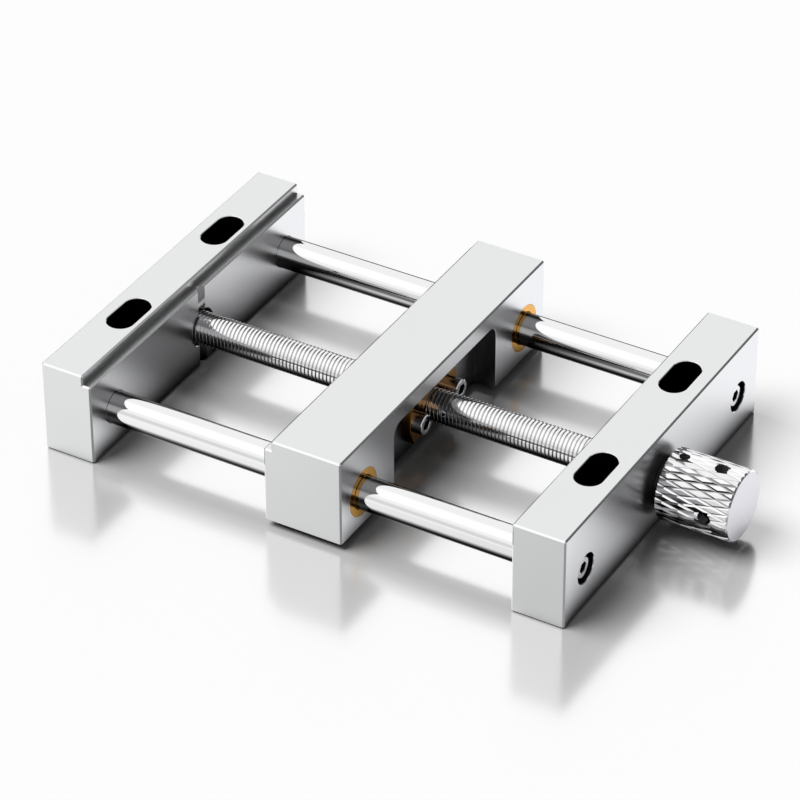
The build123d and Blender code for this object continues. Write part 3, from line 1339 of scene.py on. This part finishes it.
@dataclass
class Fasteners:
    """The screws that hold the rods and the nut."""

    places: Places
    rod_screw: SocketScrew = SocketScrew(2.75, 3.0, 10.0)
    nut_screw: SocketScrew = SocketScrew(2.5, 2.7, 8.0)
    recess: float = 0.7
    socket_reach: float = 1.5
    rim_depth: float = 0.2

    def place_screw(
        self,
        screw: SocketScrew,
        place: ScrewPlace,
        finish: bpy.types.Material,
        socket: bpy.types.Material,
    ) -> None:
        """Builds one screw, with painted shade in its socket.

        Args:
            screw: The screw's sizes.
            place: Where it goes.
            finish: The screw's finish.
            socket: The near-black finish that paints shade into its socket.
        """
        shape = screw.shape().turn(place.turn, "Z").move(place.face, place.line, AXIS_HEIGHT)
        name = f"{place.node}_turned"
        piece = shape.finish(name, finish, place.body, Slot.FASTENER, place.node)
        piece.data.materials.append(socket)
        # Painted shade: faces inside the hexagon socket take the near-black finish.
        for face in piece.data.polygons:
            middle = face.center / MM
            off_axis = math.hypot(middle.y - place.line, middle.z - AXIS_HEIGHT)
            if off_axis < self.socket_reach and abs(middle.x - place.face) > self.rim_depth:
                face.material_index = 1

    def build(self, finish: bpy.types.Material, socket: bpy.types.Material) -> None:
        """Builds the four rod screws and the two nut screws, with painted shade in their sockets.

        Args:
            finish: The screws' finish.
            socket: The near-black finish that paints shade into their sockets.
        """
        rear = self.places.fixed_outer + self.recess
        front = self.places.end_outer - self.recess
        flange = self.places.jaw_front - POCKET_DEPTH + FLANGE_THICKNESS
        for side in Side:
            line = side.value * ROD_LINE
            for end, face, turn in (("rear", rear, 0.0), ("front", front, HALF_TURN)):
                node = f"rod_screw_{end}_{side.label}"
                place = ScrewPlace(node, Body.FRAME, face, line, turn)
                self.place_screw(self.rod_screw, place, finish, socket)
            head = flange + self.nut_screw.head_height
            line = side.value * NUT_SCREW_LINE
            place = ScrewPlace(f"nut_screw_{side.label}", Body.JAW, head, line)
            self.place_screw(self.nut_screw, place, finish, socket)


@dataclass(frozen=True)
class CrossHole:
    """A tapped hole from the knob's outside to the journal."""

    label: str
    place: float
    turn: float
    radius: float


@dataclass(frozen=True)
class KnobFinishes:
    """The finishes of the knob, its end face painted in shade, its tapped holes painted near-black
    as shade, and their set screws.
    """

    knurled: bpy.types.Material
    end: bpy.types.Material
    tapped: bpy.types.Material
    screw: bpy.types.Material


@dataclass
class Knob:
    """The knurled knob with its three tapped cross holes and their set screws."""

    places: Places
    radius: float = 8.55
    end_chamfer: float = 0.4
    clearance: float = 0.02
    envelope_steps: int = 120
    overshoot: float = 1.0
    bore_radius: float = 3.05
    bore_depth: float = 16.0
    knurl_depth: float = 0.27
    knurl_turn: float = 6.8
    groove_width: float = 0.72
    diamonds: int = 30
    pad_cuts: int = 3
    station_gap: float = 4.085
    stations: int = 9
    stations_behind: float = 6.0
    tap_pitch: float = 0.5
    tap_depth: float = 0.16
    tap_flat: float = 0.1
    tap_steps: int = 36
    tap_inside: float = 2.0
    tap_outside: float = 1.5
    tap_trims: tuple[float, float] = (0.7, 0.3)
    tip: float = 3.0
    tip_break: float = 0.3
    top_break: float = 0.2
    set_screw_length: float = 3.2
    set_screw_gap: float = 0.17
    set_screw_steps: int = 48
    socket: float = 1.5
    socket_depth: float = 1.3
    drill_tip: float = 0.3
    facing: float = 0.99
    holes: tuple[CrossHole, ...] = (
        CrossHole("top_back", 3.3, QUARTER_TURN, 1.35),
        CrossHole("top_front", 12.5, QUARTER_TURN, 1.65),
        CrossHole("side_front", 12.5, HALF_TURN, 1.65),
    )

    def knurl(self) -> Shape:
        """Makes the diamond knurl as raised pads between crossing helical grooves.

        Returns:
            The knurled bar, longer than the knob at both ends.
        """
        first = self.places.knob_front - self.stations_behind * self.station_gap
        low = self.radius - self.knurl_depth
        profile = [(first + index * self.station_gap, low) for index in range(self.stations)]
        bar = Shape()
        bar.add_turned(profile, steps=2 * self.diamonds)
        half_step = math.pi / self.diamonds
        crossings = set()
        for vert in bar.bm.verts:
            station = round((vert.co.x - first) / self.station_gap)
            sector = round(math.atan2(vert.co.z, vert.co.y) / half_step)
            if (station + sector) % 2 == 0:
                crossings.add(vert)
        for face in list(bar.bm.faces):
            ends = [vert for vert in face.verts if vert in crossings]
            bmesh.utils.face_split(face, ends[0], ends[1])
        middles = [vert for vert in bar.bm.verts if vert not in crossings]
        bmesh.ops.dissolve_verts(bar.bm, verts=middles)
        pads = list(bar.bm.faces)
        bmesh.ops.inset_individual(
            bar.bm, faces=pads, thickness=self.groove_width / 2.0, use_even_offset=True
        )
        for pad in pads:
            pad.material_index = 1
        tops = list(dict.fromkeys(edge for pad in pads for edge in pad.edges))
        cuts = self.pad_cuts
        bmesh.ops.subdivide_edges(bar.bm, edges=tops, cuts=cuts, use_grid_fill=True)
        raised = set()
        for face in bar.bm.faces:
            if face.material_index == 1:
                raised.update(face.verts)
                face.material_index = 0
        for vert in raised:
            scale = self.radius / math.hypot(vert.co.y, vert.co.z)
            vert.co.y *= scale
            vert.co.z *= scale
        return bar.cap().turn(self.knurl_turn, "X")

    def across(self, shape: Shape, hole: CrossHole) -> Shape:
        """Moves a shape from the X axis to a cross hole's line.

        Args:
            shape: The shape.
            hole: The hole.

        Returns:
            The moved shape.
        """
        shape.turn(QUARTER_TURN, "Z").turn(hole.turn, "X")
        return shape.move(self.places.knob_back + hole.place, 0.0, AXIS_HEIGHT)

    def tap(self, hole: CrossHole) -> Shape:
        """Makes the tool for a tapped cross hole, with the thread's grooves in its wall.

        Args:
            hole: The hole.

        Returns:
            The tool, in its place.
        """
        start, end = self.bore_radius - self.tap_inside, self.radius + self.tap_outside
        root, pitch = hole.radius - self.tap_depth, self.tap_pitch
        turns = math.ceil((end - start) / pitch)
        profile = []
        for turn in range(turns):
            place = start + turn * pitch
            crest = place + pitch / 2.0
            profile += [(place, root), (place + self.tap_flat, root)]
            profile += [(crest, hole.radius), (crest + self.tap_flat, hole.radius)]
        profile.append((start + turns * pitch, root))
        tool = Shape()
        tool.add_turned(profile, pitch, self.tap_steps)
        tool.trim(start + self.tap_trims[0], end - self.tap_trims[1])
        return self.across(tool.cap(), hole)

    def set_screw(self, hole: CrossHole) -> Shape:
        """Makes the set screw in a cross hole, its tip on the journal.

        Args:
            hole: The hole.

        Returns:
            The screw, in its place.
        """
        tip, top = self.tip, self.tip + self.set_screw_length
        radius, small, large = hole.radius - self.set_screw_gap, self.top_break, self.tip_break
        profile = (
            (tip, 0.0), (tip, radius - large), (tip + large, radius),
            (top - small, radius), (top, radius - small), (top, 0.0),
        )
        across, floor = self.socket / math.sqrt(3.0), top - self.socket_depth
        above = top + self.overshoot
        well = ((floor - self.drill_tip, 0.0), (floor, across), (above, across), (above, 0.0))
        screw = Shape.turned(profile, steps=self.set_screw_steps)
        return self.across(screw.cut(Shape.turned(well, steps=HEXAGON)), hole)

    def in_hole(self, place: Vector) -> bool:
        """Whether a place, in metres, is on the wall of a tapped cross hole.

        Args:
            place: The place.

        Returns:
            Whether it is.
        """
        for hole in self.holes:
            turn = math.radians(hole.turn)
            x = place.x / MM - self.places.knob_back - hole.place
            y, z = place.y / MM, place.z / MM - AXIS_HEIGHT
            out = y * math.cos(turn) + z * math.sin(turn)
            aside = z * math.cos(turn) - y * math.sin(turn)
            if out > self.bore_radius and math.hypot(x, aside) < hole.radius + SAME_PLACE:
                return True
        return False

    def build(self, finishes: KnobFinishes) -> None:
        """Builds the knob and its set screws in their finishes.

        Args:
            finishes: The finishes of the knob's parts.
        """
        back, front, small = self.places.knob_back, self.places.knob_front, self.end_chamfer
        rim, outside = self.radius - small, self.radius + self.clearance
        envelope = (
            (back, 0.0), (back, rim), (back + small, outside),
            (front - small, outside), (front, rim), (front, 0.0),
        )
        knob = self.knurl().keep(Shape.turned(envelope, steps=self.envelope_steps))
        end = back + self.bore_depth
        knob.cut(Shape.pin(back - self.overshoot, end, self.bore_radius, z=0.0))
        knob.move(0.0, 0.0, AXIS_HEIGHT)
        for hole in self.holes:
            knob.cut(self.tap(hole))
        piece = knob.finish("knurled_knob", finishes.knurled, Body.SCREW, Slot.KNOB, "knob")
        piece.data.materials.append(finishes.tapped)
        piece.data.materials.append(finishes.end)
        for face in piece.data.polygons:
            # Painted shade: the tapped holes' walls take the near-black finish.
            if self.in_hole(face.center):
                face.material_index = 1
            # Painted shade: the end face takes the darker, bluer aluminium.
            elif face.normal.x > self.facing:
                face.material_index = 2
        for hole in self.holes:
            node = f"knob_screw_{hole.label}"
            screw = self.set_screw(hole)
            screw.finish(f"{node}_turned", finishes.screw, Body.SCREW, Slot.SET_SCREW, node)


@dataclass(frozen=True)
class Patch:
    """A round patch of one brightness in the surround, faded between two angles."""

    towards: Point
    level: float
    inner: float
    outer: float

    @property
    def fade(self) -> Fade:
        """The fade of the patch's edge, over the cosine of the angle from its middle."""
        outer, inner = math.radians(self.outer), math.radians(self.inner)
        return Fade(math.cos(outer), math.cos(inner), smooth=True)


@dataclass
class Studio:
    """The camera, the floor, the lamp and the surround, with lengths in metres.

    The fades down to off_foot run along the floor's X or Y, or over its openness; they paint
    shade and light by place into the floor as mirroring surfaces see it. Those from
    to_the_right to deeper run over a direction's X or Z. A reflection seen in another one has
    dark_again and deeper.
    """

    target: Point = (-0.016444, 0.009954, 0.0)
    azimuth: float = -59.801
    elevation: float = 35.356
    roll: float = -0.2
    distance: float = 0.97946
    clip: tuple[float, float] = (0.05, 50.0)
    focal_pixels: float = 4144.24
    frame_pixels: float = 800.0
    sensor: float = 36.0
    floor_half: float = 4.0
    floor_colour: float = 0.92
    floor_gloss: float = 0.52
    floor_roughness: float = 0.17
    shade_from: Point = (-0.46, -0.53, 0.72)
    shade_samples: int = 16
    shades: tuple[tuple[float, Fade], ...] = ((0.05, Fade(0.34, 0.72)), (0.006, Fade(0.48, 0.95)))
    towards_knob: Fade = Fade(-0.085, 0.045, 1.0, 0.83)
    in_front: Fade = Fade(-0.046, -0.05)
    spindle_line: float = 0.004
    spindle_painted_shade: float = 0.17
    off_spindle: Fade = Fade(0.01, 0.023, smooth=True)
    off_blocks: Fade = Fade(0.4, 0.85, 0.14, 1.0)
    bays_end: float = 0.05
    beside_bays: tuple[Fade, ...] = (Fade(-0.028, -0.036), Fade(0.037, 0.048))
    beyond: Fade = Fade(-0.01, 0.02, 0.1, 0.42)
    off_foot: Fade = Fade(0.0585, 0.065)
    key_from: Point = (-0.45, -0.26, 0.88)
    key_strength: float = 3.6
    key_angle: float = 42.0
    fill: float = 0.13
    level: float = 0.94
    to_the_right: Fade = Fade(0.0, 0.25, smooth=True)
    below_horizon: Fade = Fade(0.04, -0.04, smooth=True)
    dark: Fade = Fade(0.43, 0.52, 0.13, 0.62, smooth=True)
    dark_again: Fade = Fade(0.58, 0.8, 0.0, 0.4, smooth=True)
    below: Fade = Fade(-0.6, -0.92, 0.96, 0.01, smooth=True)
    deeper: Fade = Fade(0.04, -0.04, 0.56, 0.2, smooth=True)
    once_scattered: float = 0.5
    twice_mirrored: float = 1.5
    cool: Point = (0.975, 0.968, 1.0)
    patches: tuple[Patch, ...] = (
        Patch((-0.407, -0.267, 0.874), 1.08, 18.0, 30.0),
        Patch((-0.407, -0.88, 0.25), 0.72, 3.0, 14.0),
        Patch((-0.464, 0.803, -0.375), 0.03, 14.0, 27.0),
        Patch((0.45, 0.70, -0.50), 1.1, 22.0, 44.0),
        Patch((0.60, -0.70, -0.40), 0.25, 18.0, 36.0),
        Patch((0.25, -0.95, -0.15), 0.04, 25.0, 38.0),
        Patch((0.46, -0.85, 0.3), 0.8, 14.0, 28.0),
    )

    def camera(self) -> None:
        """Sets the camera at the photograph's viewpoint."""
        azimuth, elevation = math.radians(self.azimuth), math.radians(self.elevation)
        level = math.cos(elevation)
        back = Vector(
            (math.cos(azimuth) * level, math.sin(azimuth) * level, math.sin(elevation))
        )
        right = Vector((0.0, 0.0, 1.0)).cross(back).normalized()
        data = bpy.data.cameras.new("viewpoint")
        data.sensor_width = self.sensor
        data.lens = self.focal_pixels * self.sensor / self.frame_pixels
        data.clip_start, data.clip_end = self.clip
        camera = bpy.data.objects.new("viewpoint", data)
        turn = Matrix((right, back.cross(right), back)).transposed()
        turn = (turn @ Matrix.Rotation(math.radians(self.roll), 3, "Z")).to_4x4()
        place = Vector(self.target) + back * self.distance
        camera.matrix_world = Matrix.Translation(place) @ turn
        bpy.context.scene.collection.objects.link(camera)
        bpy.context.scene.camera = camera

    def mirrored_shade(self, bench: NodeBench) -> Socket:
        """Works out how bright a mirroring surface sees each place of the floor, with painted
        shade and painted light by place.

        Args:
            bench: The bench of the floor's material.

        Returns:
            The brightness, from nought to one.
        """
        lean = Vector(self.shade_from).normalized()
        towards = bench.add("ShaderNodeCombineXYZ", dict(enumerate(lean))).outputs[0]

        def open_sky(reach: float) -> Socket:
            """How open a place is towards the lamp, within a reach.

            Args:
                reach: The reach.

            Returns:
                The openness, from nought to one.
            """
            inputs = {"Distance": reach, "Normal": towards}
            node = bench.add(
                "ShaderNodeAmbientOcclusion", inputs, samples=self.shade_samples
            )
            return node.outputs["AO"]

        open_skies = [open_sky(reach) for reach, _ in self.shades]
        faded = [bench.fade(sky, fade) for sky, (_, fade) in zip(open_skies, self.shades)]
        # Painted shade by place: the bays darker, darkest along the spindle's line, and the floor
        # in front darker towards the knob.
        x, y, _ = bench.split(bench.add("ShaderNodeTexCoord").outputs["Object"])
        aside = bench.math("ABSOLUTE", bench.math("SUBTRACT", y, self.spindle_line))
        aside = bench.fade(aside, self.off_spindle)
        off_blocks = bench.fade(open_skies[0], self.off_blocks)
        bays = bench.mix(aside, self.spindle_painted_shade, off_blocks)
        bays = bench.math("MAXIMUM", bays, bench.math("GREATER_THAN", x, self.bays_end))
        for fade in self.beside_bays:
            bays = bench.math("MAXIMUM", bays, bench.fade(y, fade))
        place_shade = bench.mix(bench.fade(y, self.in_front), bays, bench.fade(x, self.towards_knob))
        shade = bench.math("MULTIPLY", bench.math("MULTIPLY", *faded), place_shade)
        # Painted light: the shade is lifted beyond the end block.
        lift = bench.math("MULTIPLY", bench.fade(y, self.beyond), bench.fade(x, self.off_foot))
        return bench.math("MULTIPLY_ADD", bench.math("SUBTRACT", 1.0, shade), lift, shade)

    def floor(self) -> None:
        """Lays a white satin floor, which mirroring surfaces see as the shaded surround."""
        bm = bmesh.new()
        bmesh.ops.create_grid(bm, x_segments=1, y_segments=1, size=self.floor_half)
        mesh = bpy.data.meshes.new("floor")
        bm.to_mesh(mesh)
        bm.free()
        material, bench = NodeBench.for_material("satin_floor")
        grey = (self.floor_colour,) * 3 + (1.0,)
        matt = bench.add("ShaderNodeBsdfDiffuse", {"Color": grey}).outputs[0]
        polish = {"Color": WHITE, "Roughness": self.floor_roughness}
        gloss = bench.add("ShaderNodeBsdfGlossy", polish).outputs[0]
        layers = {0: self.floor_gloss, 1: matt, 2: gloss}
        satin = bench.add("ShaderNodeMixShader", layers).outputs[0]
        shade = {"Color": self.mirrored_shade(bench)}
        through = bench.add("ShaderNodeBsdfTransparent", shade).outputs[0]
        mirrored = bench.add("ShaderNodeLightPath").outputs["Is Glossy Ray"]
        final = bench.add("ShaderNodeMixShader", {0: mirrored, 1: satin, 2: through})
        bench.add("ShaderNodeOutputMaterial", {"Surface": final.outputs[0]})
        mesh.materials.append(material)
        floor = bpy.data.objects.new("floor", mesh)
        bpy.context.scene.collection.objects.link(floor)

    def key(self) -> None:
        """Hangs the wide soft lamp over the fixed jaw's side."""
        data = bpy.data.lights.new("key", "SUN")
        data.energy = self.key_strength
        data.angle = math.radians(self.key_angle)
        lamp = bpy.data.objects.new("key", data)
        lamp.rotation_euler = Vector(self.key_from).to_track_quat("Z", "Y").to_euler()
        lamp.visible_glossy = False
        bpy.context.scene.collection.objects.link(lamp)

    def surround(self) -> None:
        """Makes the surround: white behind, and softboxes and dark walls in reflections."""
        world = bpy.data.worlds.new("surround")
        bpy.context.scene.world = world
        world.use_nodes = True
        world.node_tree.nodes.clear()
        bench = NodeBench(world.node_tree)
        way = bench.add("ShaderNodeTexCoord").outputs["Generated"]
        x, _, z = bench.split(way)
        rays = bench.add("ShaderNodeLightPath").outputs
        again = bench.math("GREATER_THAN", rays["Glossy Depth"], self.twice_mirrored)
        right = bench.fade(x, self.to_the_right)
        dark = bench.mix(again, bench.fade(z, self.dark), bench.fade(z, self.dark_again))
        light = bench.mix(right, self.level, dark)
        light = bench.mix(bench.fade(z, self.below_horizon), light, bench.fade(z, self.below))
        for patch in self.patches:
            lean = bench.dot(way, Vector(patch.towards).normalized())
            light = bench.mix(bench.fade(lean, patch.fade), light, patch.level)
        deeper = bench.mix(again, 1.0, bench.fade(z, self.deeper))
        light = bench.math("MULTIPLY", light, deeper)
        seen = bench.math("MAXIMUM", rays["Is Glossy Ray"], rays["Is Transmission Ray"])
        matt_first = bench.math("GREATER_THAN", rays["Diffuse Depth"], self.once_scattered)
        seen = bench.math("SUBTRACT", seen, matt_first)
        strength = bench.mix(rays["Is Camera Ray"], bench.mix(seen, self.fill, light), 1.0)
        tinted = bench.math("MULTIPLY", right, rays["Is Glossy Ray"])
        colour = bench.mix(tinted, WHITE, (*self.cool, 1.0), Blend.COLOUR)
        backdrop = bench.add("ShaderNodeBackground", {"Strength": strength, "Color": colour})
        bench.add("ShaderNodeOutputWorld", {"Surface": backdrop.outputs[0]})

    def build(self) -> None:
        """Builds the camera, the floor, the lamp and the surround."""
        self.camera()
        self.floor()
        self.key()
        self.surround()
        bpy.context.scene.view_settings.view_transform = "Standard"


def main() -> None:
    """Loads the frame and builds every piece around it."""
    logging.basicConfig(level=logging.INFO, format="%(name)s: %(message)s")
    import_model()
    Studio().build()
    places = Places.from_frame()
    groups = SurfaceGroups()
    block = BlockFinishes(
        BLOCK_FINISH.build(groups), EDGE_HIGHLIGHT_FINISH.build(groups), HOLE_SHADE_FINISH.build(groups)
    )
    FixedJaw(places).build(block)
    SlidingJaw(places).build(block)
    EndBlock(places).build(block)
    GuideRods(places).build(ROD_FINISH.build(groups))
    Spindle(places).build(SPINDLE_FINISH.build(groups))
    Nut(places).build(NUT_SHADE_FINISH.build(groups))
    Bushes(places).build(BUSH_FINISH.build(groups))
    Washers(places).build(WASHER_FINISH.build(groups))
    # The screws' sockets take the holes' near-black painted shade.
    Fasteners(places).build(FASTENER_FINISH.build(groups), block.slot)
    knob = KnobFinishes(
        KNOB_FINISH.build(groups),
        KNOB_END_SHADE_FINISH.build(groups),
        TAPPED_HOLE_SHADE_FINISH.build(groups),
        SET_SCREW_FINISH.build(groups),
    )
    Knob(places).build(knob)


if __name__ == "__main__":
    main()
